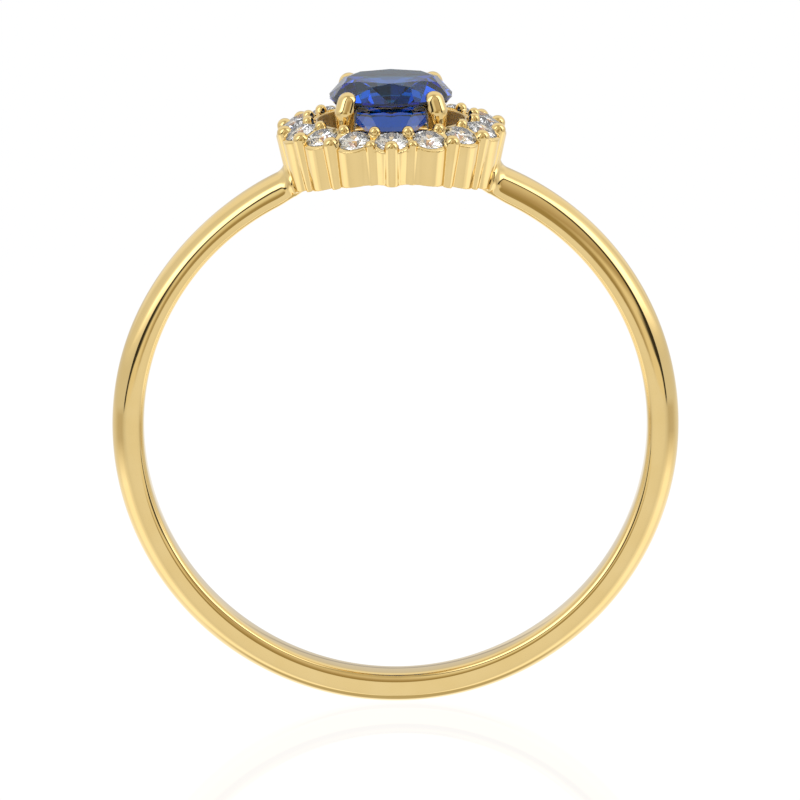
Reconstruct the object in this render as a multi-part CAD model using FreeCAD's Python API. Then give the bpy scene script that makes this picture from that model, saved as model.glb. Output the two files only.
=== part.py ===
"""Cluster engagement ring in yellow gold, millimetres.

A plain half-round shank carries a scalloped halo tray of small round diamonds. Inside the tray stands a
four-claw basket that lifts one round sapphire above the halo.
Frame: the origin is the centre of the finger hole, +Y runs along the finger, +Z points up to the sapphire.
Each function builds one kind of piece where it sits in the finished ring, and every piece is its own solid.
"""

import FreeCAD
import Part

import math
import os

# Driving dimensions
FINGER_R = 8.25  # inner radius of the shank
BAND_WIDTH = 1.5
BAND_THICKNESS = 1.03
BAND_EDGE_ROUND = 0.27  # comfort rounding of the two inner edges

STONES = 16  # diamonds in the halo
DIAMOND_R = 0.53
HALO_R = 3.18  # radius of the circle through the diamonds' centres
HALO_Z = 9.95  # height of the diamonds' girdles
HALO_TILT = 24.0  # how far each diamond leans outwards, degrees

SAPPHIRE_R = 2.0
SAPPHIRE_Z = 10.93  # height of the sapphire's girdle

SEAT_GAP = 0.008  # room between a stone and the metal that holds it
TRAY_BORE_R = 8.55  # the head's underside follows the finger at this radius
LIP = 0.11  # metal left outside each diamond's seat

# Sizes that follow from the driving dimensions
BAND_OUTER_R = FINGER_R + BAND_THICKNESS
DOME_R = BAND_WIDTH / 2
PITCH = 360.0 / STONES
TILT = math.radians(HALO_TILT)
JUNCTION_R = HALO_R * math.cos(math.radians(PITCH / 2))  # where two neighbouring diamonds nearly touch

# Proportions of the stones, as shares of their radius
GIRDLE = 0.04
FACETS = 8  # main facets of a crown
CORNER_SPARE = 0.02  # the facets bulge this much past a plain cone at the girdle
# A crown's table radius and height, then how far its star facets reach from the table to the girdle
DIAMOND_CROWN = (0.56, 0.31, 0.4)
SAPPHIRE_CROWN = (0.7, 0.31, 0.4)
DIAMOND_DEPTH = 0.86  # from the girdle to the culet
LOWER = 0.77  # how far the lower girdle facets reach from the girdle to the culet
SAPPHIRE_STEPS = ((0.85, 0.19), (0.6, 0.43), (0.32, 0.66))  # radius and depth at the foot of each step
SAPPHIRE_DEPTH = 0.86

# Claws, beads and rails
CLAW_TIP_R = 0.215
CLAW_FOOT_R = 0.09
CLAW_FOOT = (3.09, 7.7)  # radius and height of an outer claw's foot on the head
CLAW_REACH = 0.43  # from the junction of two diamonds out to the claw's tip, along the slope
CLAW_LIFT = 0.07  # height of the tip's centre above the diamonds' girdles
INSET_CLAW_REACH = 0.37  # the same for the four claws beside the front and back claws
INSET_CLAW_TIP_R = 0.17
INSET_CLAW_FOOT_R = 0.06
BEAD_R = 0.19
BEAD_REACH = 0.43
BEAD_POST = 0.45  # height of the post under a bead
BEAD_POST_R = 0.1425
POLE_CLAW_TIP = (3.66, 9.84)  # the claw in front of the middle diamond, and its twin at the back
POLE_CLAW_TIP_R = 0.195
POLE_CLAW_FOOT = (3.3, 7.9)
POLE_CLAW_FOOT_R = 0.18

COLLET_FOOT = (2.82, 7.8)
COLLET_FOOT_R = 0.53
CORE_TOP_DROP = 0.1  # the metal between two diamonds lies this far under their girdles
CORE_INNER_TOP = 2.4
CORE_INNER_FOOT = 2.22
CORE_OUTER_TOP = 3.56
CORE_OUTER_FOOT = 3.1
CORE_FOOT_Z = 7.4
OPENING_FLARE = 0.6  # height over which the tray's opening widens above the base ring
AZURE_R = 0.25  # the light hole under each diamond
SHANK_TOE = (4.52, 4.4)  # radius and height of the cylinder that trims the shank's ends under the tray

BASKET_CLAW_ANGLES = (45, 135, 225, 315)
BASKET_TIP = (1.97, 10.95)
BASKET_TIP_R = 0.34
BASKET_KNEE = (2.15, 10.64)
BASKET_FOOT = (1.92, 8.72)
BASKET_SHAFT_R = 0.28
BASKET_BEND_R = 0.42
BASE_RING = (1.72, 2.2, 8.1, 8.92)  # inner radius, outer radius, underside, top
RAIL_R = 1.86
RAIL_WIRE_R = 0.14
RAIL_Z = 9.62

PAST = 4.0  # cutting tools run this far past the metal they cut

X_AXIS = FreeCAD.Vector(1, 0, 0)
Z_AXIS = FreeCAD.Vector(0, 0, 1)
Y_AXIS = FreeCAD.Vector(0, 1, 0)
ORIGIN = FreeCAD.Vector(0, 0, 0)


def vec(x, y, z):
    return FreeCAD.Vector(x, y, z)


def polar(radius, degrees, z):
    """A point of the head. Angle 0 is the front, -Y, and angles grow towards +X."""
    a = math.radians(degrees)
    return vec(radius * math.sin(a), -radius * math.cos(a), z)


def on_slope(reach, lift):
    """(radius, height) of a point on a diamond's radial line, measured from its centre along its slope."""
    radius = HALO_R + reach * math.cos(TILT) + lift * math.sin(TILT)
    return radius, HALO_Z - reach * math.sin(TILT) + lift * math.cos(TILT)


def on_junction(reach, lift):
    """As on_slope, on the line between two neighbouring diamonds."""
    radius, z = on_slope(reach, lift)
    return radius - (HALO_R - JUNCTION_R), z


def turned(shape, degrees):
    """A copy of shape turned about the head's axis, from the front towards +X."""
    copy = shape.copy()
    copy.rotate(ORIGIN, Z_AXIS, degrees)
    return copy


def rod(start, end, start_r, end_r):
    """A round rod or taper from one point to another."""
    along = end - start
    if abs(start_r - end_r) < 1e-6:
        return Part.makeCylinder(start_r, along.Length, start, along)
    return Part.makeCone(start_r, end_r, along.Length, start, along)


def bent_wire(start, bend, end, radius, bend_r):
    """A round wire made of two straight runs joined by a tangent arc at the point bend."""
    run_in = (bend - start).normalize()
    run_out = (end - bend).normalize()
    half_turn = run_in.getAngle(run_out) / 2
    setback = bend_r * math.tan(half_turn)
    arc_start = bend - run_in * setback
    arc_end = bend + run_out * setback
    middle = bend + (run_out - run_in).normalize() * (bend_r / math.cos(half_turn) - bend_r)
    path = [
        Part.LineSegment(start, arc_start),
        Part.Arc(arc_start, middle, arc_end),
        Part.LineSegment(arc_end, end),
    ]
    section = Part.Wire(Part.makeCircle(radius, start, run_in))
    return Part.Wire([curve.toShape() for curve in path]).makePipeShell([section], True, True)


def bar_along_finger(radius, z):
    """A round bar along Y, longer than the head is wide."""
    reach = HALO_R + PAST
    return Part.makeCylinder(radius, 2 * reach, vec(0, -reach, z), Y_AXIS)


def revolved(points):
    """A solid of revolution about Z from a closed outline of (radius, height) points."""
    outline = Part.makePolygon([vec(r, 0, z) for r, z in points + points[:1]])
    return Part.Face(outline).revolve(ORIGIN, Z_AXIS, 360)


def leaning(shape, degrees):
    """shape, made upright about Z at the origin, set on the halo as a diamond is."""
    placed = shape.copy()
    placed.rotate(ORIGIN, X_AXIS, HALO_TILT)
    placed.translate(polar(HALO_R, 0, HALO_Z))
    return turned(placed, degrees)


def ring_of(count, radius, z, shift=0.0):
    """Points evenly spaced on a circle about Z, turned by shift of their spacing."""
    step = 2 * math.pi / count
    turns = [(k + shift) * step for k in range(count)]
    return [vec(radius * math.cos(turn), radius * math.sin(turn), z) for turn in turns]


def corner_radius(radius):
    """Radius of the girdle's corners before they are ground round."""
    return radius / math.cos(math.pi / (2 * FACETS))


def crown_facets(radius, proportions):
    """Outlines of a brilliant crown's facets: table, stars, kites and upper girdle facets."""
    table_share, height_share, star_reach = proportions
    half, crown, table_r = GIRDLE * radius / 2, height_share * radius, table_share * radius
    corner_r = corner_radius(radius)
    star_r = table_r + star_reach * (radius - table_r)
    slope = (crown - half) / (corner_r - table_r)
    star_z = crown - slope * (star_r * math.cos(math.pi / FACETS) - table_r)
    table = ring_of(FACETS, table_r, crown)
    stars = ring_of(FACETS, star_r, star_z, 0.5)
    edge = ring_of(2 * FACETS, corner_r, half)
    outlines = [table]
    for k in range(FACETS):
        star, star_before, main = stars[k], stars[k - 1], edge[2 * k]
        outlines.append([table[k], table[(k + 1) % FACETS], star])
        outlines.append([table[k], star_before, main, star])
        outlines.append([star, main, edge[2 * k + 1]])
        outlines.append([star_before, main, edge[2 * k - 1]])
    return outlines


def band_between(upper, lower):
    """Outlines of the flat facets between two rings of points."""
    return [[upper[k - 1], upper[k], lower[k], lower[k - 1]] for k in range(len(upper))]


def girdle_facets(radius):
    half = GIRDLE * radius / 2
    corner_r = corner_radius(radius)
    return band_between(ring_of(2 * FACETS, corner_r, half), ring_of(2 * FACETS, corner_r, -half))


def brilliant_pavilion(radius, depth_share):
    """Outlines of a brilliant pavilion's facets: mains down to the culet and lower girdle facets."""
    half, depth = GIRDLE * radius / 2, depth_share * radius
    corner_r = corner_radius(radius)
    low_r = (1 - LOWER) * radius
    low_z = -depth + (depth - half) / corner_r * low_r * math.cos(math.pi / FACETS)
    culet = vec(0, 0, -depth)
    lows = ring_of(FACETS, low_r, low_z, 0.5)
    edge = ring_of(2 * FACETS, corner_r, -half)
    outlines = []
    for k in range(FACETS):
        low, low_before, main = lows[k], lows[k - 1], edge[2 * k]
        outlines.append([culet, low_before, main, low])
        outlines.append([low, main, edge[2 * k + 1]])
        outlines.append([low_before, main, edge[2 * k - 1]])
    return outlines


def stepped_pavilion(radius, steps, depth_share):
    """Outlines of a step-cut pavilion's facets, row under row down to the culet."""
    corner_r = corner_radius(radius)
    upper = ring_of(2 * FACETS, corner_r, -GIRDLE * radius / 2)
    outlines = []
    for radius_share, depth in steps:
        lower = ring_of(2 * FACETS, corner_r * radius_share, -depth * radius)
        outlines += band_between(upper, lower)
        upper = lower
    culet = vec(0, 0, -depth_share * radius)
    outlines += [[upper[k - 1], upper[k], culet] for k in range(len(upper))]
    return outlines


def cut_stone(radius, outlines):
    """A faceted stone, its girdle centred on z = 0 at the origin and ground round, its table towards +Z."""
    shell = Part.Shell([Part.Face(Part.makePolygon(outline + outline[:1])) for outline in outlines])
    stone = Part.Solid(shell)
    if stone.Volume < 0:
        stone.reverse()
    return stone.common(Part.makeCylinder(radius, 2 * radius, vec(0, 0, -radius)))


def diamonds():
    facets = crown_facets(DIAMOND_R, DIAMOND_CROWN) + girdle_facets(DIAMOND_R)
    stone = cut_stone(DIAMOND_R, facets + brilliant_pavilion(DIAMOND_R, DIAMOND_DEPTH))
    return [leaning(stone, k * PITCH) for k in range(STONES)]


def diamond_rooms():
    """The smooth envelope of each diamond, a little larger, which notches the metal round it."""
    table_share, height_share, _ = DIAMOND_CROWN
    half = (GIRDLE / 2 + CORNER_SPARE) * DIAMOND_R + SEAT_GAP
    outer = DIAMOND_R + SEAT_GAP
    top = height_share * DIAMOND_R + SEAT_GAP
    table_r = table_share * DIAMOND_R + SEAT_GAP
    culet_z = -DIAMOND_DEPTH * DIAMOND_R - SEAT_GAP
    room = revolved([(0, culet_z), (outer, -half), (outer, half), (table_r, top), (0, top)])
    return [leaning(room, k * PITCH) for k in range(STONES)]


def sapphire():
    """The centre stone: a brilliant crown over a step-cut pavilion, a corner of its table to the front."""
    facets = crown_facets(SAPPHIRE_R, SAPPHIRE_CROWN) + girdle_facets(SAPPHIRE_R)
    stone = cut_stone(SAPPHIRE_R, facets + stepped_pavilion(SAPPHIRE_R, SAPPHIRE_STEPS, SAPPHIRE_DEPTH))
    stone.translate(vec(0, 0, SAPPHIRE_Z))
    return stone


def sapphire_room():
    """The sapphire's own shape, a little larger, which notches its claws."""
    return sapphire().scaled(1 + SEAT_GAP / SAPPHIRE_R, vec(0, 0, SAPPHIRE_Z))


def shank(head):
    """A half-round band, open at the top where it is soldered to the sides of the head."""
    side = BAND_WIDTH / 2
    corner = BAND_EDGE_ROUND
    bend = corner * (1 - math.sqrt(0.5))
    shoulder = BAND_OUTER_R - DOME_R
    section = [
        Part.LineSegment(vec(FINGER_R, -side + corner, 0), vec(FINGER_R, side - corner, 0)),
        Part.Arc(
            vec(FINGER_R, side - corner, 0),
            vec(FINGER_R + bend, side - bend, 0),
            vec(FINGER_R + corner, side, 0),
        ),
        Part.LineSegment(vec(FINGER_R + corner, side, 0), vec(shoulder, side, 0)),
        Part.Arc(vec(shoulder, side, 0), vec(BAND_OUTER_R, 0, 0), vec(shoulder, -side, 0)),
        Part.LineSegment(vec(shoulder, -side, 0), vec(FINGER_R + corner, -side, 0)),
        Part.Arc(
            vec(FINGER_R + corner, -side, 0),
            vec(FINGER_R + bend, -side + bend, 0),
            vec(FINGER_R, -side + corner, 0),
        ),
    ]
    wire = Part.Wire([curve.toShape() for curve in section])
    band = Part.Face(wire).revolve(ORIGIN, Y_AXIS, 360)
    opened = band.cut(head.cut(bar_along_finger(TRAY_BORE_R, 0))).cut(bar_along_finger(*SHANK_TOE))
    return max(opened.Solids, key=lambda solid: solid.Volume)


def collets():
    """One leaning cup round each diamond. Together they are the scalloped wall of the tray."""
    top = polar(HALO_R, 0, HALO_Z)
    foot = polar(COLLET_FOOT[0], 0, COLLET_FOOT[1])
    along = (top - foot).normalize()
    rim_r = DIAMOND_R + LIP
    growth = (rim_r - COLLET_FOOT_R) / (top - foot).Length
    cup = rod(foot, top + along * rim_r, COLLET_FOOT_R, rim_r + growth * rim_r)
    above = Part.makeBox(2 * PAST, 2 * PAST, PAST, vec(-PAST, -PAST, -GIRDLE * DIAMOND_R))
    cup = cup.cut(leaning(above, 0))
    return [turned(cup, k * PITCH) for k in range(STONES)]


def head_blank():
    """The tray's outer shape with nothing cut out of it, which the shank's ends are fitted to."""
    slope = math.tan(TILT)
    top_z = HALO_Z - CORE_TOP_DROP
    core = revolved(
        [
            (0, CORE_FOOT_Z),
            (CORE_OUTER_FOOT, CORE_FOOT_Z),
            (CORE_OUTER_TOP, top_z - slope * (CORE_OUTER_TOP - JUNCTION_R)),
            (CORE_INNER_TOP, top_z + slope * (JUNCTION_R - CORE_INNER_TOP)),
            (0, top_z + slope * (JUNCTION_R - CORE_INNER_TOP)),
        ]
    )
    return core.multiFuse(collets())


def seat():
    """The cut for one diamond, at the origin: a ledge for the girdle, a cone and a light hole."""
    ledge = -GIRDLE * DIAMOND_R / 2 - SEAT_GAP
    outer = DIAMOND_R + SEAT_GAP
    hole_top = ledge - (outer - AZURE_R) * DIAMOND_DEPTH
    return revolved(
        [(0, -PAST), (AZURE_R, -PAST), (AZURE_R, hole_top), (outer, ledge), (outer, PAST), (0, PAST)]
    )


def tray(blank, fitted):
    """The halo tray: the blank with an open middle, seats, grooves for its claws and a curved underside."""
    low, high = CORE_FOOT_Z - PAST, HALO_Z + PAST
    ring_top = BASE_RING[3]
    opening = revolved(
        [
            (0, low),
            (CORE_INNER_FOOT, low),
            (CORE_INNER_FOOT, ring_top),
            (CORE_INNER_TOP, ring_top + OPENING_FLARE),
            (CORE_INNER_TOP, high),
            (0, high),
        ]
    )
    seats = [leaning(seat(), k * PITCH) for k in range(STONES)]
    body = blank.cut(bar_along_finger(TRAY_BORE_R, 0))
    body = body.cut(opening)
    body = body.cut(seats)
    body = body.cut(fitted)
    return max(body.Solids, key=lambda solid: solid.Volume)


def claw(foot, tip, foot_r, tip_r, degrees, rooms):
    """A wire with a rounded tip, notched where it holds its stones, its foot cut to the head's underside."""
    start = polar(foot[0], 0, foot[1])
    end = polar(tip[0], 0, tip[1])
    body = rod(start, end, foot_r, tip_r).fuse(Part.makeSphere(tip_r, end))
    body = turned(body.removeSplitter(), degrees)
    body = body.cut(rooms).cut(bar_along_finger(TRAY_BORE_R, 0))
    return max(body.Solids, key=lambda solid: solid.Volume)


def outer_claws(rooms):
    """Claws shared by neighbouring diamonds. The four beside the front and back claws are slimmer."""
    made = {}
    for k in range(STONES):
        beside_pole = k % (STONES // 2) in (0, STONES // 2 - 1)
        reach, tip_r, foot_r = CLAW_REACH, CLAW_TIP_R, CLAW_FOOT_R
        if beside_pole:
            reach, tip_r, foot_r = INSET_CLAW_REACH, INSET_CLAW_TIP_R, INSET_CLAW_FOOT_R
        near = [rooms[k], rooms[(k + 1) % STONES]]
        tip = on_junction(reach, CLAW_LIFT)
        made[f"outer_claw_{k + 1:02d}"] = claw(CLAW_FOOT, tip, foot_r, tip_r, (k + 0.5) * PITCH, near)
    return made


def pole_claws(rooms):
    """The claw that stands proud in front of the middle diamond, and its twin at the back."""
    made = {}
    for name, k in (("front_claw", 0), ("back_claw", STONES // 2)):
        made[name] = claw(
            POLE_CLAW_FOOT, POLE_CLAW_TIP, POLE_CLAW_FOOT_R, POLE_CLAW_TIP_R, k * PITCH, [rooms[k]]
        )
    return made


def inner_beads(rooms):
    """Small beads on posts that hold the diamonds on the side towards the sapphire."""
    radius, z = on_junction(-BEAD_REACH, CLAW_LIFT)
    made = {}
    for k in range(STONES):
        near = [rooms[k], rooms[(k + 1) % STONES]]
        made[f"inner_bead_{k + 1:02d}"] = claw(
            (radius, z - BEAD_POST), (radius, z), BEAD_POST_R, BEAD_R, (k + 0.5) * PITCH, near
        )
    return made


def basket_claws(room, rail):
    """The four claws that lift and hold the sapphire, each notched where the rail crosses it."""
    foot, knee, tip = (polar(r, 0, z) for r, z in (BASKET_FOOT, BASKET_KNEE, BASKET_TIP))
    shaft = bent_wire(foot, knee, tip, BASKET_SHAFT_R, BASKET_BEND_R)
    whole = shaft.fuse(Part.makeSphere(BASKET_TIP_R, tip))
    made = {}
    for number, degrees in enumerate(BASKET_CLAW_ANGLES, 1):
        made[f"basket_claw_{number}"] = turned(whole, degrees).cut([room, rail])
    return made


def base_ring(claws):
    """The flat ring at the foot of the basket, soldered into the tray."""
    inner, outer, low, high = BASE_RING
    ring = revolved([(inner, low), (outer, low), (outer, high), (inner, high)])
    return ring.cut(bar_along_finger(TRAY_BORE_R, 0)).cut(claws)


def gallery_rail():
    """A round wire that ties the four claws together under the sapphire."""
    return Part.makeTorus(RAIL_R, RAIL_WIRE_R, vec(0, 0, RAIL_Z))


def build():
    parts = {}
    rooms = diamond_rooms()
    claws = outer_claws(rooms)
    claws.update(pole_claws(rooms))
    beads = inner_beads(rooms)
    rail = gallery_rail()
    basket = basket_claws(sapphire_room(), rail)
    blank = head_blank()
    fitted = list(claws.values()) + list(beads.values())

    parts["shank"] = shank(blank.fuse(list(claws.values())))
    parts["halo_tray"] = tray(blank, fitted)
    parts["base_ring"] = base_ring(list(basket.values()))
    parts["gallery_rail"] = rail
    parts["sapphire"] = sapphire()
    parts.update(basket)
    parts.update(claws)
    parts.update(beads)
    for number, stone in enumerate(diamonds(), 1):
        parts[f"diamond_{number:02d}"] = stone
    return parts


def main():
    os.makedirs("parts", exist_ok=True)
    for old in os.listdir("parts"):
        os.remove(os.path.join("parts", old))
    for name, shape in build().items():
        shape.exportStep(os.path.join("parts", name + ".step"))
        print(f"{name:16s} solids {len(shape.Solids)} valid {shape.isValid()} volume {shape.Volume:.4f}")


main()
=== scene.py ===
import math

import bmesh
import bpy
from mathutils import Matrix, Vector


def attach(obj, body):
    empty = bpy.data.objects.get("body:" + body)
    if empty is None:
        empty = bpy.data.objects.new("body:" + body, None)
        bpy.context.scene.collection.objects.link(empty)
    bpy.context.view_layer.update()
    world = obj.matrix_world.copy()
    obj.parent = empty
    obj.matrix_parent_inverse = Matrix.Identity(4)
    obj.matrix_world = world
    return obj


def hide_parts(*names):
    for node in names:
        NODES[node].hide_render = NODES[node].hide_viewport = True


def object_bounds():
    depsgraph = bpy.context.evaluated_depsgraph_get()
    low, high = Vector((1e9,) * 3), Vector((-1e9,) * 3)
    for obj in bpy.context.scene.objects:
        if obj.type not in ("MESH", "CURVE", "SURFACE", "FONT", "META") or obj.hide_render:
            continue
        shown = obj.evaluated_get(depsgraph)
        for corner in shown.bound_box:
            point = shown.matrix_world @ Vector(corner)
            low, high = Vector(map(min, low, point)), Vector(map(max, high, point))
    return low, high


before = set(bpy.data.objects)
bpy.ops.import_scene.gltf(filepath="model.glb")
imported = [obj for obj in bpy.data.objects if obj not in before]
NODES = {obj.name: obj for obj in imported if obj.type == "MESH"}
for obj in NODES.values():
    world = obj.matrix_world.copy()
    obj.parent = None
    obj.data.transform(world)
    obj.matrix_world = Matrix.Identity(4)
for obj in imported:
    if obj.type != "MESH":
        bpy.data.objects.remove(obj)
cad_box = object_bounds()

MM = 0.001
POLE_CLAWS = ["front_claw", "back_claw"]
CLAW_NODES = [name for name in NODES if name.startswith("outer_claw") or name in POLE_CLAWS]
SLIM_CLAWS = ["outer_claw_01", "outer_claw_08", "outer_claw_09", "outer_claw_16"]  # beside the pole claws
BEAD_NODES = [name for name in NODES if name.startswith("inner_bead")]
DIAMOND_NODES = [name for name in NODES if name.startswith("diamond")]
BASKET_NODES = [name for name in NODES if name.startswith("basket_claw")]
GOLD_NODES = [name for name in NODES if name != "sapphire" and name not in DIAMOND_NODES]


# Node helpers

def new_material(name):
    """A material with its node tree and shader."""
    mat = bpy.data.materials.new(name)
    mat.use_nodes = True
    tree = mat.node_tree
    return mat, tree, tree.nodes["Principled BSDF"]


def add(tree, kind, **values):
    """Adds a node. Names in values are its properties, or its inputs where it has no such property."""
    node = tree.nodes.new(kind)
    for key, value in values.items():
        if hasattr(node, key):
            setattr(node, key, value)
        else:
            node.inputs[key.replace("_", " ")].default_value = value
    return node


def ramp(tree, source, stops):
    """A colour ramp fed by source. Stops are (position, (r, g, b)) or (position, grey)."""
    node = tree.nodes.new("ShaderNodeValToRGB")
    elements = node.color_ramp.elements
    while len(elements) < len(stops):
        elements.new(0.5)
    for element, (position, colour) in zip(elements, stops):
        element.position = position
        rgb = colour if isinstance(colour, tuple) else (colour,) * 3
        element.color = (*rgb, 1)
    tree.links.new(source, node.inputs["Fac"])
    return node.outputs["Color"]


def maths(tree, operation, *values):
    """A math node. Each value is a number or another node's output."""
    node = tree.nodes.new("ShaderNodeMath")
    node.operation = operation
    for socket, value in zip(node.inputs, values):
        if isinstance(value, (int, float)):
            socket.default_value = value
        else:
            tree.links.new(value, socket)
    return node.outputs[0]


def blend_values(tree, share, first, second):
    """first where share is 0, second where it is 1."""
    rest = maths(tree, "SUBTRACT", second, first)
    return maths(tree, "MULTIPLY_ADD", rest, share, first)


def noise(tree, scale, detail):
    """Noise that stays with the piece. scale is about how many blotches there are to a metre."""
    node = add(tree, "ShaderNodeTexNoise", Scale=scale, Detail=detail)
    tree.links.new(add(tree, "ShaderNodeTexCoord").outputs["Object"], node.inputs["Vector"])
    return node.outputs["Fac"]


# Materials

GOLD = (0.815, 0.615, 0.28)
GOLD_DEEP = (0.79, 0.585, 0.25)
# The satin gold inside the tray, lighter than the polished gold: painted light on the tray's shaded inner
# wall
SATIN_PAINTED_LIGHT = (0.95, 0.78, 0.42)
SATIN_PAINTED_LIGHT_DEEP = (0.9, 0.7, 0.34)
SEAT = (0.99, 0.99, 1.0)
SEAT_DEEP = (0.72, 0.72, 0.74)
POLISH_RIPPLE = 0.02 * MM

DIAMOND_IOR = 2.42
SAPPHIRE_IOR = 1.77
SAPPHIRE_BLUE = (0.22, 0.68, 1.0)
# Painted shade: the darker blue the sapphire is given below its girdle
SAPPHIRE_PAINTED_SHADE = (0.03, 0.16, 0.36)
SAPPHIRE_BODY = (0.02, 0.48, 0.86)  # what its depth lets through
SAPPHIRE_DENSITY = 880.0  # per metre
SAPPHIRE_GLINT = (0.6, 0.65, 0.8)  # tints what its facets mirror
PAINTED_SHADE_START = 10.76 * MM  # the painted shade starts to clear at this height, just under the girdle
PAINTED_SHADE_SPAN = 0.1 * MM  # and has cleared this much higher


def gold():
    """Polished yellow gold: faint clouds from the casting, a buffed haze and a slight ripple."""
    mat, tree, shader = new_material("gold")
    link = tree.links.new
    cloud = ramp(tree, noise(tree, 900.0, 3.0), [(0.3, GOLD_DEEP), (0.7, GOLD)])
    link(cloud, shader.inputs["Base Color"])
    haze = ramp(tree, noise(tree, 2500.0, 4.0), [(0.3, 0.03), (0.75, 0.07)])
    link(haze, shader.inputs["Roughness"])
    bump = add(tree, "ShaderNodeBump", Strength=0.06, Distance=POLISH_RIPPLE)
    link(noise(tree, 1400.0, 2.0), bump.inputs["Height"])
    link(bump.outputs["Normal"], shader.inputs["Normal"])
    shader.inputs["Metallic"].default_value = 1.0
    return mat


def satin_painted_light():
    """Gold left as a fine satin inside the tray, where a polishing wheel can't reach. Its lighter colour and
    lower metallic are painted light, brightening the tray's shaded inside.
    """
    mat, tree, shader = new_material("satin_gold_painted_light")
    tint = ramp(tree, noise(tree, 5000.0, 3.0), [(0.3, SATIN_PAINTED_LIGHT_DEEP), (0.7, SATIN_PAINTED_LIGHT)])
    tree.links.new(tint, shader.inputs["Base Color"])
    shader.inputs["Roughness"].default_value = 0.5
    shader.inputs["Metallic"].default_value = 0.6
    return mat


def seat_metal():
    """The bright-cut seats under the diamonds: a light neutral metal, uneven from the cutting tool."""
    mat, tree, shader = new_material("bright_cut_seat")
    tint = ramp(tree, noise(tree, 6000.0, 2.0), [(0.35, SEAT_DEEP), (0.6, SEAT)])
    tree.links.new(tint, shader.inputs["Base Color"])
    shader.inputs["Roughness"].default_value = 0.3
    shader.inputs["Metallic"].default_value = 1.0
    return mat


def gem(name, tint, ior):
    """A clear stone's material, with its node tree and shader."""
    mat, tree, shader = new_material(name)
    shader.inputs["Base Color"].default_value = (*tint, 1)
    shader.inputs["Roughness"].default_value = 0.0
    shader.inputs["IOR"].default_value = ior
    shader.inputs["Transmission Weight"].default_value = 1.0
    return mat, tree, shader


def diamond():
    return gem("diamond", (1.0, 1.0, 1.0), DIAMOND_IOR)[0]


def sapphire():
    """The blue stone. Its colour is painted darker below the girdle: painted shade on the pavilion."""
    mat, tree, shader = gem("sapphire", SAPPHIRE_BLUE, SAPPHIRE_IOR)
    shader.inputs["Specular Tint"].default_value = (*SAPPHIRE_GLINT, 1)
    way = add(tree, "ShaderNodeSeparateXYZ")
    tree.links.new(add(tree, "ShaderNodeTexCoord").outputs["Object"], way.inputs[0])
    # painted shade: the blue is darker under the girdle and clears upwards
    rise = maths(tree, "MULTIPLY_ADD", way.outputs["Z"], 1 / PAINTED_SHADE_SPAN, -PAINTED_SHADE_START / PAINTED_SHADE_SPAN)
    painted_shade = ramp(tree, rise, [(0.0, SAPPHIRE_PAINTED_SHADE), (1.0, SAPPHIRE_BLUE)])
    tree.links.new(painted_shade, shader.inputs["Base Color"])
    body = add(tree, "ShaderNodeVolumeAbsorption", Density=SAPPHIRE_DENSITY)
    body.inputs["Color"].default_value = (*SAPPHIRE_BODY, 1)
    tree.links.new(body.outputs["Volume"], tree.nodes["Material Output"].inputs["Volume"])
    return mat


def dress(looks):
    """Gives every CAD node its material."""
    for name, node in NODES.items():
        key = "gold" if name in GOLD_NODES else "diamond" if name in DIAMOND_NODES else "sapphire"
        for place in node.material_slots:
            place.material = looks[key]


# The band

SHANK_INNER_R = 8.25 * MM
SHANK_OUTER_R = 9.28 * MM
SHANK_WIDTH = 1.5 * MM
SHANK_EDGE_R = 0.27 * MM
SHANK_EDGE_START = math.radians(5)  # the slope at which the full inner face runs into its rounded edges
SHANK_END = math.radians(19.5)  # from the top of the ring to where the band's ends sit in the head's wall
TOE_R = 4.52 * MM  # the underside of the band's ends follows this smaller arc up to the head
TOE_Z = 4.4 * MM
TOE_BLEND = 0.3 * MM  # how softly the band's inner face runs into the toe
WEAR = 0.12 * MM  # the polisher has taken this much off the left shoulder
WEAR_AT = math.radians(44)  # how far from the top
WEAR_REACH = math.radians(24)
FILLET_R = 0.38 * MM  # the solder where the band meets the head
FILLET_AT = math.radians(21.7)  # from the top of the ring to where the band meets the head's wall
FILLET_LEAST = 0.15  # the fillet is cut off at this share of its radius from the wall
SHANK_STEPS = 960  # round the finger
FACE_STEPS = 10  # across the inner face
EDGE_STEPS = 10
DOME_STEPS = 44
HAIR = 0.002 * MM  # keeps the edge and the dome apart where they would meet


def new_object(name, mesh):
    """A smooth-shaded piece in the scene."""
    for face in mesh.polygons:
        face.use_smooth = True
    piece = bpy.data.objects.new(name, mesh)
    bpy.context.scene.collection.objects.link(piece)
    return piece


def shank_section(inner_r, outer_r):
    """The band's closed outline as (radius, y): a full inner face, two rounded edges, a half-round back."""
    side = SHANK_WIDTH / 2
    start = SHANK_EDGE_START
    flat = side - SHANK_EDGE_R * (1 - math.sin(start))
    shoulder = max(SHANK_OUTER_R - side, inner_r + SHANK_EDGE_R + HAIR)
    face, edge = [], []
    for k in range(1, FACE_STEPS):
        across = 2 * k / FACE_STEPS - 1
        face.append((inner_r - flat * math.tan(start) / 2 * (1 - across ** 2), across * flat))
    for k in range(EDGE_STEPS + 1):
        turn = start + (math.pi / 2 - start) * k / EDGE_STEPS
        rise = SHANK_EDGE_R * (math.cos(start) - math.cos(turn))
        edge.append((inner_r + rise, flat + SHANK_EDGE_R * (math.sin(turn) - math.sin(start))))
    dome = []
    for k in range(DOME_STEPS + 1):
        turn = math.pi * k / DOME_STEPS
        dome.append((shoulder + (outer_r - shoulder) * math.sin(turn), side * math.cos(turn)))
    return face + edge + dome + [(r, -y) for r, y in reversed(edge)]


def outer_face(turn):
    """Radius of the band's back at turn, slightly worn down on the left shoulder."""
    from_wear = (2 * math.pi - turn - WEAR_AT) / WEAR_REACH
    return SHANK_OUTER_R - WEAR * math.exp(-from_wear ** 2)


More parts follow.
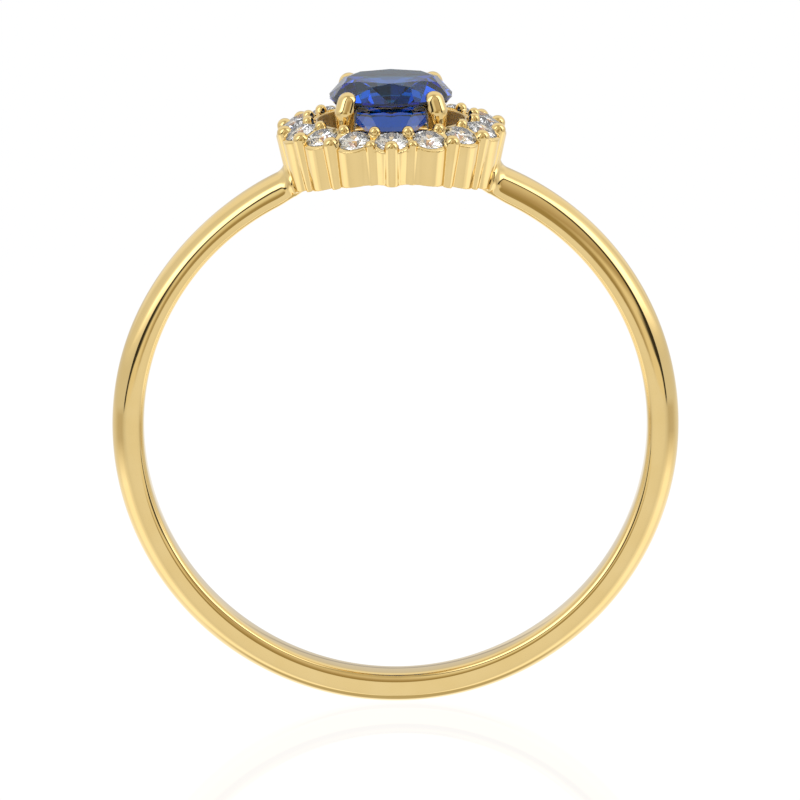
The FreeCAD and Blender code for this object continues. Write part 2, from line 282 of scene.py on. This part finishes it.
def inner_face(toe_r):
    """Radius of the band's inner face, which runs softly over into the toe."""
    nearness = 1 - min(abs(toe_r - SHANK_INNER_R) / TOE_BLEND, 1)
    return max(SHANK_INNER_R, toe_r) + TOE_BLEND / 4 * nearness ** 2


def flared(section, turn):
    """section swollen by the solder fillet near the head. turn is its place round the ring, from the top."""
    away = (min(turn, 2 * math.pi - turn) - FILLET_AT) * SHANK_OUTER_R
    if away >= FILLET_R:
        return section
    run = FILLET_R - max(away, FILLET_LEAST * FILLET_R)
    swell = FILLET_R - math.sqrt(FILLET_R ** 2 - run ** 2)
    middle = SHANK_OUTER_R - SHANK_WIDTH / 2
    grown = []
    for r, y in section:
        out = Vector((r - middle, y)).normalized() * swell
        grown.append((r + max(out.x, 0), y + out.y))
    return grown


def shank(material):
    """The half-round band, swept round the finger from one side of the head to the other."""
    bm = bmesh.new()
    loops = []
    for k in range(SHANK_STEPS + 1):
        turn = SHANK_END + (2 * math.pi - 2 * SHANK_END) * k / SHANK_STEPS
        rise = TOE_Z * math.cos(turn)
        toe_r = rise + math.sqrt(rise ** 2 + TOE_R ** 2 - TOE_Z ** 2)
        section = flared(shank_section(inner_face(toe_r), outer_face(turn)), turn)
        loops.append([bm.verts.new((r * math.sin(turn), y, r * math.cos(turn))) for r, y in section])
    for one, two in zip(loops, loops[1:]):
        for k in range(len(one)):
            bm.faces.new((one[k - 1], two[k - 1], two[k], one[k]))
    bm.faces.new(loops[0])
    bm.faces.new(reversed(loops[-1]))
    bmesh.ops.recalc_face_normals(bm, faces=bm.faces)
    mesh = bpy.data.meshes.new("band")
    bm.to_mesh(mesh)
    bm.free()
    mesh.materials.append(material)
    piece = new_object("band", mesh)
    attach(piece, "root")
    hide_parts("shank")


# The head's softly rounded castings

CAST_VOXEL = 0.024 * MM
CAST_PASSES = 24
CAST_SOFTNESS = 0.5  # how far each pass evens out the surface
SHARP_ANGLE = math.radians(35)
WELD = 0.00001 * MM
CLAW_SWELL = 0.045 * MM  # solder rounds the claws out by this much where they run down the head
BEAD_SWELL = 0.008 * MM  # makes up for what the smoothing takes off the beads
DIAMOND_TILT = math.radians(24)
DIAMOND_ROOM = 1.018  # how much larger each seat is than its diamond
DIAMOND_HEADROOM = 0.06 * MM
TABLE_FLATNESS = 0.001 * MM
SAPPHIRE_ROOM = 1.005
INSIDE_R = 2.5 * MM  # everything in the tray nearer the head's axis than this is its inner wall

BASKET_ANGLES = (45, 135, 225, 315)  # degrees from the front, seen from above
# The balls a basket claw is drawn over, from its tip down: radius from the head's axis, height and size
FRONT_TIP = (1.97 * MM, 10.94 * MM, 0.345 * MM)
BACK_TIP = (1.93 * MM, 11.13 * MM, 0.33 * MM)  # the back claws are bent less far over the stone
CLAW_BODY = [(2.1 * MM, 10.62 * MM, 0.35 * MM), (2.1 * MM, 9.9 * MM, 0.285 * MM)]
BALL_SPLITS = 4


def joined(lumps):
    """One bmesh that holds all the lumps, which are used up."""
    whole = bmesh.new()
    for bm in lumps:
        mesh = bpy.data.meshes.new("lump")
        bm.to_mesh(mesh)
        bm.free()
        whole.from_mesh(mesh)
        bpy.data.meshes.remove(mesh)
    return whole


def copy_of(name, swell=0.0):
    """A copy of a CAD piece, swollen along its normals."""
    bm = bmesh.new()
    bm.from_mesh(NODES[name].data)
    bmesh.ops.remove_doubles(bm, verts=bm.verts, dist=WELD)
    bmesh.ops.recalc_face_normals(bm, faces=bm.faces)
    bm.normal_update()
    for v in bm.verts:
        v.co += v.normal * swell
    return bm


def hull(bm):
    """The closed convex skin of bm, which is used up."""
    found = bmesh.ops.convex_hull(bm, input=bm.verts)
    loose = found["geom_interior"] + found["geom_unused"]
    spare = {item for item in loose if isinstance(item, bmesh.types.BMVert)}
    bmesh.ops.delete(bm, geom=list(spare), context="VERTS")
    bmesh.ops.recalc_face_normals(bm, faces=bm.faces)
    return bm


def stone_room(name, scale, tilt, headroom=0.0):
    """A stone's closed shape, scaled about its middle. It leans out by tilt. headroom raises its table."""
    bm = copy_of(name)
    bmesh.ops.delete(bm, geom=list(bm.faces), context="FACES_ONLY")
    middle = sum((v.co for v in bm.verts), Vector()) / len(bm.verts)
    outwards = Vector((middle.x, middle.y, 0)).normalized()
    up = outwards * math.sin(tilt) + Vector((0, 0, math.cos(tilt)))
    for v in bm.verts:
        v.co = middle + (v.co - middle) * scale
    top = max(v.co.dot(up) for v in bm.verts)
    table = [v.co + up * headroom for v in bm.verts if v.co.dot(up) > top - TABLE_FLATNESS]
    for place in table:
        bm.verts.new(place)
    return hull(bm)


def finger(angle, balls):
    """A round finger drawn over balls, each given as (radius from the head's axis, height, size)."""
    bm = bmesh.new()
    for reach, z, size in balls:
        place = Vector((reach * math.sin(angle), -reach * math.cos(angle), z))
        ball = Matrix.Translation(place)
        bmesh.ops.create_icosphere(bm, subdivisions=BALL_SPLITS, radius=size, matrix=ball)
    bmesh.ops.delete(bm, geom=list(bm.faces), context="FACES_ONLY")
    return hull(bm)


def as_object(bm, name, material):
    """An object with bm's shape, all in one material. bm is used up."""
    mesh = bpy.data.meshes.new(name)
    bm.to_mesh(mesh)
    bm.free()
    for face in mesh.polygons:
        face.material_index = 0
    mesh.materials.append(material)
    thing = bpy.data.objects.new(name, mesh)
    bpy.context.scene.collection.objects.link(thing)
    return thing


def settled(thing):
    """The mesh of thing with its modifiers applied. thing itself is removed."""
    view = bpy.context.evaluated_depsgraph_get()
    mesh = bpy.data.meshes.new_from_object(thing.evaluated_get(view))
    bpy.data.objects.remove(thing)
    return mesh


def cast(name, replaced, sources, rooms, material, room_material):
    """A rounded casting of the sources, with room cut for the stones. It stands for CAD node replaced."""
    thing = as_object(joined(sources), name, material)
    remesh = thing.modifiers.new("remesh", "REMESH")
    remesh.mode = "VOXEL"
    remesh.voxel_size = CAST_VOXEL
    soften = thing.modifiers.new("soften", "SMOOTH")
    soften.iterations = CAST_PASSES
    soften.factor = CAST_SOFTNESS
    cutter = as_object(rooms, "rooms", room_material)
    cut = thing.modifiers.new("rooms", "BOOLEAN")
    cut.operation = "DIFFERENCE"
    cut.solver = "MANIFOLD"
    cut.object = cutter
    cut.material_mode = "TRANSFER"
    mesh = settled(thing)
    bpy.data.objects.remove(cutter)
    piece = new_object(name, mesh)
    mesh.set_sharp_from_angle(angle=SHARP_ANGLE)
    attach(piece, "root")
    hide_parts(replaced)
    return mesh


def line_inside(mesh):
    """Gives the tray's inner wall the mesh's next free material slot, which holds the lighter satin gold:
    painted light on the shaded inside.
    """
    satin_painted_light_slot = len(mesh.materials) - 1
    for face in mesh.polygons:
        facing_in = face.normal.x * face.center.x + face.normal.y * face.center.y < 0
        if facing_in and math.hypot(face.center.x, face.center.y) < INSIDE_R and face.material_index == 0:
            face.material_index = satin_painted_light_slot


def cast_tray(looks):
    """The tray in one casting with its claws and beads, as such a head comes out of its mould."""
    sources = [copy_of("halo_tray")]
    sources += [copy_of(name, BEAD_SWELL) for name in BEAD_NODES + SLIM_CLAWS]
    sources += [copy_of(name, CLAW_SWELL) for name in CLAW_NODES if name not in SLIM_CLAWS]
    sources += [stone_room(name, 1.0, DIAMOND_TILT) for name in DIAMOND_NODES]
    rooms = []
    for name in DIAMOND_NODES:
        rooms.append(stone_room(name, DIAMOND_ROOM, DIAMOND_TILT, DIAMOND_HEADROOM))
    mesh = cast("tray", "halo_tray", sources, joined(rooms), looks["gold"], looks["seat"])
    # the satin gold added here is lighter than the rest: painted light on the tray's shaded inner wall
    mesh.materials.append(looks["satin_painted_light"])
    line_inside(mesh)


def cast_basket(looks):
    """The four claws, each drawn over the sapphire's edge and cut to fit it."""
    for name, degrees in zip(BASKET_NODES, BASKET_ANGLES):
        tip = BACK_TIP if 90 < degrees < 270 else FRONT_TIP
        sources = [copy_of(name), finger(math.radians(degrees), [tip] + CLAW_BODY)]
        room = stone_room("sapphire", SAPPHIRE_ROOM, 0.0)
        cast("soft_" + name, name, sources, room, looks["gold"], looks["gold"])


# Studio

CAMERA_DISTANCE = 400 * MM
CAMERA_ELEVATION = math.radians(11.3)
CAMERA_ROLL = math.radians(0.8)
LOOK_AT = Vector((0.16, 0, 0.79)) * MM
FRAME_WIDTH = 26.2 * MM  # what the picture takes in at the ring

FLOOR_SIZE = 3.0
FLOOR_GLOSS = 0.22  # share of the floor's light that it mirrors
FLOOR_GLOW = 1.17


def camera():
    """A long lens at the photo's angle, rolled as slightly as the photo is."""
    data = bpy.data.cameras.new("camera")
    data.sensor_width = 36
    data.lens = data.sensor_width * CAMERA_DISTANCE / FRAME_WIDTH
    data.clip_start = 0.01
    data.clip_end = 10
    eye = bpy.data.objects.new("camera", data)
    back = Vector((0, -math.cos(CAMERA_ELEVATION), math.sin(CAMERA_ELEVATION)))
    turn = back.to_track_quat("Z", "Y").to_matrix() @ Matrix.Rotation(-CAMERA_ROLL, 3, "Z")
    eye.location = LOOK_AT + back * CAMERA_DISTANCE
    eye.rotation_euler = turn.to_euler()
    bpy.context.scene.collection.objects.link(eye)
    bpy.context.scene.camera = eye


def floor():
    """A sheet of white acrylic, just glossy enough to mirror the ring faintly."""
    half = FLOOR_SIZE / 2
    low = cad_box[0].z
    mesh = bpy.data.meshes.new("floor")
    corners = [(x, y, low) for x, y in ((-half, -half), (half, -half), (half, half), (-half, half))]
    mesh.from_pydata(corners, [], [(0, 1, 2, 3)])
    sheet = bpy.data.objects.new("floor", mesh)
    bpy.context.scene.collection.objects.link(sheet)
    # the tent's lower half already holds the white floor's light, so only the camera sees this sheet
    sheet.visible_glossy = False
    sheet.visible_diffuse = False
    sheet.visible_transmission = False
    sheet.visible_shadow = False
    mat, tree, _ = new_material("floor")
    mirror = add(tree, "ShaderNodeBsdfGlossy", Roughness=0.04)
    glow = add(tree, "ShaderNodeEmission", Strength=FLOOR_GLOW)
    mix = add(tree, "ShaderNodeMixShader", Fac=FLOOR_GLOSS)
    tree.links.new(glow.outputs[0], mix.inputs[1])
    tree.links.new(mirror.outputs[0], mix.inputs[2])
    tree.links.new(mix.outputs[0], tree.nodes["Material Output"].inputs["Surface"])
    mesh.materials.append(mat)


# The tent. Heights are degrees above the horizon. Places round it are degrees from straight ahead, where the
# camera stands, and the right is positive. Colours and brightnesses are radiances.

TENT_PEAK = 2.8  # radiance of the brightest part of the tent
GROUND = (-6, -8)  # the walls give way to the floor between these heights
WALLS_MEET = (11, 13)  # the left wall gives way to the right wall between these, seen through the opening

# Where the opening round the camera ends, in degrees either side of straight ahead, at each height
LEFT_EDGE = [
    (-8, 64), (-3, 58), (1, 55), (4, 53), (9, 46.5), (14, 41), (20, 38), (27, 33), (39, 29), (60, 18)]
RIGHT_EDGE = [(-8, 64), (3, 65), (9, 64), (21, 62), (45, 60), (60, 40)]
# What the opening shows at each height, on its left and on its right: darkest at the horizon
OPENING_LEFT = [
    (-7, (0.50, 0.42, 0.26)), (-3, (0.44, 0.36, 0.21)), (2, (0.46, 0.38, 0.22)), (6, (0.60, 0.53, 0.37)),
    (12, (0.83, 0.80, 0.66)), (18, (0.95, 0.95, 0.85)), (30, (1.0, 0.99, 0.93))]
OPENING_RIGHT = [
    (-7, (0.42, 0.34, 0.19)), (3, (0.41, 0.33, 0.17)), (10, (0.46, 0.38, 0.23)), (18, (0.54, 0.45, 0.31)),
    (32, (0.69, 0.62, 0.50)), (42, (0.80, 0.74, 0.62)), (52, (0.70, 0.64, 0.50))]
OPENING_TURNS = (-14, 0)  # its left gives way to its right between these places
OPENING_SIDES = (0.94, 0.89, 0.76)  # the horizon is only dark straight ahead: beside that it shows this
SIDES_BELOW = (16, 7)  # heights
SIDES_BEYOND = (14, 26)  # places to either side

# The dark hem round the opening: the share of its light left, against degrees past its edge
HEM = [(-9.5, 1.0), (-5.5, 0.05), (0, 0.05)]
HEM_SQUEEZE = [(-6, 1.0), (-2, 0.75), (0, 0.4), (5, 0.33), (12, 0.65), (20, 0.9)]  # by height. Less is wider
HEM_ENDS = (-0.5, 0)  # degrees past the edge

# Brightness of the walls against degrees past the opening's edge
LEFT_WALL = [
    (0, 0.05), (1.5, 1.1), (4, 2.3), (24, 2.6), (34, 1.2), (46, 0.9), (75, 0.85), (95, 1.05), (115, 1.0),
    (128, 0.75), (180, 0.75)]
RIGHT_WALL = [
    (0, 0.05), (1.5, 1.1), (5, 2.1), (25, 2.5), (38, 1.2), (60, 0.85), (80, 1.05), (92, 1.0), (105, 0.75),
    (180, 0.75)]
# The most the walls give at each height. The side lamps sit high
LAMPS = [(-8, 0.80), (3, 0.82), (8, 0.95), (13, 1.4), (18, 2.1), (24, 2.8)]

TOP = (50, 72)  # the walls give way to the top between these heights
TOP_REACH = 25  # the top comes down this much lower behind the ring
TOP_REACHES = (90, 120)  # places to either side between which it comes down
TOP_FRONT = (0.62, 0.58, 0.48)
TOP_BACK = (1.05, 1.05, 1.05)
TOP_TURNS = (70, 110)  # its front gives way to its back between these places

BEHIND = (0.5, 0.5, 0.53)  # a dim strip of the back wall, just over the horizon
BEHIND_FROM = (7.5, 8.7)  # heights of its lower and upper edges
BEHIND_TO = (12, 10.8)
BEHIND_BEYOND = (160, 170)  # places to either side of it

# Brightness of the floor against degrees from straight ahead: near the horizon, and well below it
FLOOR_FAR = [
    (0, 0.97), (42, 0.94), (54, 0.84), (70, (0.66, 0.62, 0.55)), (95, (0.68, 0.64, 0.58)), (120, 0.85),
    (180, 0.97)]
FLOOR_NEAR = [(0, 0.98), (35, 0.95), (52, 0.90), (66, 1.1), (78, 1.35), (100, 1.35), (118, 1.1), (180, 1.3)]
FLOOR_TURNS = (-13, -22)  # heights
SHADE = (0.60, 0.55, 0.42)  # the floor under and behind the ring lies in its shade
SHADE_BELOW = (-50, -62)  # heights
SHADE_BEYOND = (90, 120)  # places to either side


def angle_curve(tree, angle, stops):
    """A value looked up by an angle in radians, from stops of (degrees, level)."""
    share = maths(tree, "MULTIPLY_ADD", angle, 1 / (2 * math.pi), 0.5)
    return ramp(tree, share, [(0.5 + degrees / 360, level) for degrees, level in stops])


def step(tree, angle, span):
    """0 at the first angle of span and beyond it, 1 at the second. Both are degrees, in either order."""
    start, end = span
    rise = maths(tree, "SUBTRACT", angle, math.radians(start))
    node = tree.nodes.new("ShaderNodeMath")
    node.operation = "DIVIDE"
    node.use_clamp = True
    tree.links.new(rise, node.inputs[0])
    node.inputs[1].default_value = math.radians(end - start)
    return node.outputs[0]


def blend_colours(tree, share, first, second):
    """first where share is 0, second where it is 1. Each is a colour or another node's output."""
    node = tree.nodes.new("ShaderNodeMix")
    node.data_type = "RGBA"
    tree.links.new(share, node.inputs["Factor"])
    for socket, value in ((node.inputs["A"], first), (node.inputs["B"], second)):
        if isinstance(value, tuple):
            socket.default_value = (*value, 1)
        else:
            tree.links.new(value, socket)
    return node.outputs["Result"]


def combine(tree, operation, first, second):
    """Two colours put together channel by channel."""
    node = add(tree, "ShaderNodeVectorMath", operation=operation)
    tree.links.new(first, node.inputs[0])
    tree.links.new(second, node.inputs[1])
    return node.outputs[0]


def under_peak(colour):
    """A colour as a share of the tent's brightest part."""
    return tuple(channel / TENT_PEAK for channel in colour)


def levels(stops):
    """Stops of (degrees, radiance) as shares of the tent's brightest part, all in colour."""
    scaled = []
    for degrees, level in stops:
        rgb = level if isinstance(level, tuple) else (level,) * 3
        scaled.append((degrees, under_peak(rgb)))
    return scaled


def opening_edge(tree, height, stops):
    """How far the opening reaches to one side at this height, in radians."""
    share = angle_curve(tree, height, [(degrees, reach / 180) for degrees, reach in stops])
    return maths(tree, "MULTIPLY", share, math.pi)


def opening(tree, turn, aside, height, past):
    """The view out through the tent's opening, and the hem round it."""
    left = angle_curve(tree, height, levels(OPENING_LEFT))
    right = angle_curve(tree, height, levels(OPENING_RIGHT))
    view = blend_colours(tree, step(tree, turn, OPENING_TURNS), left, right)
    low = maths(tree, "MULTIPLY", step(tree, height, SIDES_BELOW), step(tree, aside, SIDES_BEYOND))
    view = blend_colours(tree, low, view, under_peak(OPENING_SIDES))
    squeeze = angle_curve(tree, height, HEM_SQUEEZE)
    hem = angle_curve(tree, maths(tree, "MULTIPLY", past, squeeze), HEM)
    return combine(tree, "MULTIPLY", view, hem)


def walls(tree, turn, aside, height):
    """The tent above the floor, with its opening."""
    over = step(tree, turn, WALLS_MEET)
    to_left = maths(tree, "MULTIPLY", turn, -1.0)
    left_past = maths(tree, "SUBTRACT", to_left, opening_edge(tree, height, LEFT_EDGE))
    right_past = maths(tree, "SUBTRACT", turn, opening_edge(tree, height, RIGHT_EDGE))
    past = blend_values(tree, over, left_past, right_past)
    left = angle_curve(tree, left_past, levels(LEFT_WALL))
    right = angle_curve(tree, right_past, levels(RIGHT_WALL))
    cloth = blend_colours(tree, over, left, right)
    cloth = combine(tree, "MINIMUM", cloth, angle_curve(tree, height, levels(LAMPS)))
    cloth = blend_colours(tree, step(tree, past, HEM_ENDS), opening(tree, turn, aside, height, past), cloth)

    strip = maths(tree, "MULTIPLY", step(tree, height, BEHIND_FROM), step(tree, height, BEHIND_TO))
    behind = maths(tree, "MULTIPLY", strip, step(tree, aside, BEHIND_BEYOND))
    cloth = blend_colours(tree, behind, cloth, under_peak(BEHIND))

    reach = math.radians(TOP_REACH)
    lifted = maths(tree, "MULTIPLY_ADD", step(tree, aside, TOP_REACHES), reach, height)
    top = blend_colours(tree, step(tree, aside, TOP_TURNS), under_peak(TOP_FRONT), under_peak(TOP_BACK))
    return blend_colours(tree, step(tree, lifted, TOP), cloth, top)


def ground(tree, aside, height):
    """The white floor, as the ring mirrors it."""
    far = angle_curve(tree, aside, levels(FLOOR_FAR))
    near = angle_curve(tree, aside, levels(FLOOR_NEAR))
    lit = blend_colours(tree, step(tree, height, FLOOR_TURNS), far, near)
    shade = maths(tree, "MULTIPLY", step(tree, height, SHADE_BELOW), step(tree, aside, SHADE_BEYOND))
    return blend_colours(tree, shade, lit, under_peak(SHADE))


def tent():
    """A light tent over a white floor. Its opening round the camera is dim, with a thin dark hem."""
    world = bpy.data.worlds.new("tent")
    bpy.context.scene.world = world
    world.use_nodes = True
    tree = world.node_tree
    way = add(tree, "ShaderNodeSeparateXYZ")
    tree.links.new(add(tree, "ShaderNodeTexCoord").outputs["Generated"], way.inputs[0])
    x, y, z = way.outputs
    turn = maths(tree, "ARCTAN2", x, maths(tree, "MULTIPLY", y, -1.0))
    aside = maths(tree, "ABSOLUTE", turn)
    height = maths(tree, "ARCSINE", z)

    upper = walls(tree, turn, aside, height)
    light = blend_colours(tree, step(tree, height, GROUND), upper, ground(tree, aside, height))
    back = tree.nodes["Background"]
    tree.links.new(light, back.inputs["Color"])
    back.inputs["Strength"].default_value = TENT_PEAK


def studio():
    """Everything round the ring: camera, floor and light."""
    camera()
    floor()
    tent()
    bpy.context.scene.view_settings.view_transform = "Standard"


looks = {
    "gold": gold(), "sapphire": sapphire(), "diamond": diamond(), "seat": seat_metal(), "satin_painted_light": satin_painted_light()}
dress(looks)
shank(looks["gold"])
cast_tray(looks)
cast_basket(looks)
studio()
